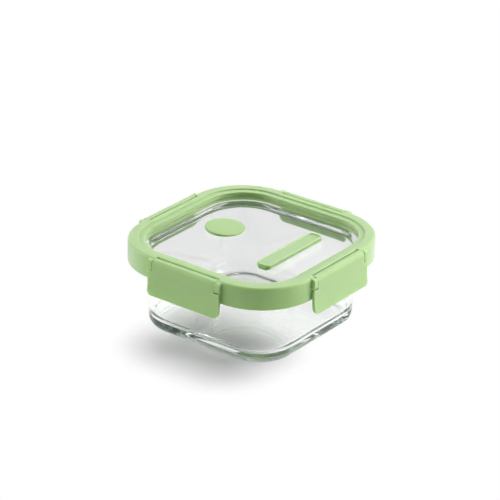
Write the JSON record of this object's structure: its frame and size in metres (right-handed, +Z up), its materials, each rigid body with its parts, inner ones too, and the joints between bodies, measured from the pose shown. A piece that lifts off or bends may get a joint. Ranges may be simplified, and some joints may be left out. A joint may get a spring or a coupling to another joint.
{
  "type": "snap lid food container",
  "caption": "Square glass food container with a framed clear lid held shut by hinged side clips, with a round vent plug and a lift-up vent lever on the lid.",
  "frame": {"origin": "centre of the bowl's flat bottom", "axes": "+Z up, front clip faces -Y, right clip faces +X"},
  "size_m": [0.1626, 0.1626, 0.0679],
  "materials": {
    "glass": "clear pressed glass, polished",
    "green_plastic": "satin moulded polypropylene, pale green",
    "clear_plastic": "clear moulded plastic, polished",
    "green_silicone": "matte silicone, pale green",
    "pale_silicone": "matte silicone, milky white",
    "steel": "drawn steel wire"
  },
  "bodies": {
    "bowl": {"glass_bowl": "glass"},
    "lid": {"lid_frame": "green_plastic", "lid_window": "clear_plastic", "lid_seal": "pale_silicone"},
    "front_clip": {"clip_front": "green_plastic"},
    "back_clip": {"clip_back": "green_plastic"},
    "left_clip": {"clip_left": "green_plastic"},
    "right_clip": {"clip_right": "green_plastic"},
    "lever": {"vent_lever": "green_plastic", "lever_pin": "steel", "vent_pad": "pale_silicone"},
    "plug": {"vent_plug": "green_silicone"}
  },
  "joints": [
    {"name": "lid_lift", "type": "slide", "parent": "bowl", "child": "lid", "axis": [0, 0, 1], "range_m": [0, 0.08]},
    {"name": "front_clip_hinge", "type": "hinge", "parent": "lid", "child": "front_clip", "pos_m": [0, -0.0772, 0.0648], "axis": [-1, 0, 0], "range_deg": [0, 165]},
    {"name": "back_clip_hinge", "type": "hinge", "parent": "lid", "child": "back_clip", "pos_m": [0, 0.0772, 0.0648], "axis": [1, 0, 0], "range_deg": [0, 165]},
    {"name": "left_clip_hinge", "type": "hinge", "parent": "lid", "child": "left_clip", "pos_m": [-0.0772, 0, 0.0648], "axis": [0, 1, 0], "range_deg": [0, 165]},
    {"name": "right_clip_hinge", "type": "hinge", "parent": "lid", "child": "right_clip", "pos_m": [0.0772, 0, 0.0648], "axis": [0, -1, 0], "range_deg": [0, 165]},
    {"name": "vent_lever_hinge", "type": "hinge", "parent": "lid", "child": "lever", "pos_m": [0.036, 0.0285, 0.0649], "axis": [-1, 0, 0], "range_deg": [0, 60]},
    {"name": "vent_plug_pull", "type": "slide", "parent": "lid", "child": "plug", "axis": [0, 0, 1], "range_m": [0, 0.008]}
  ]
}
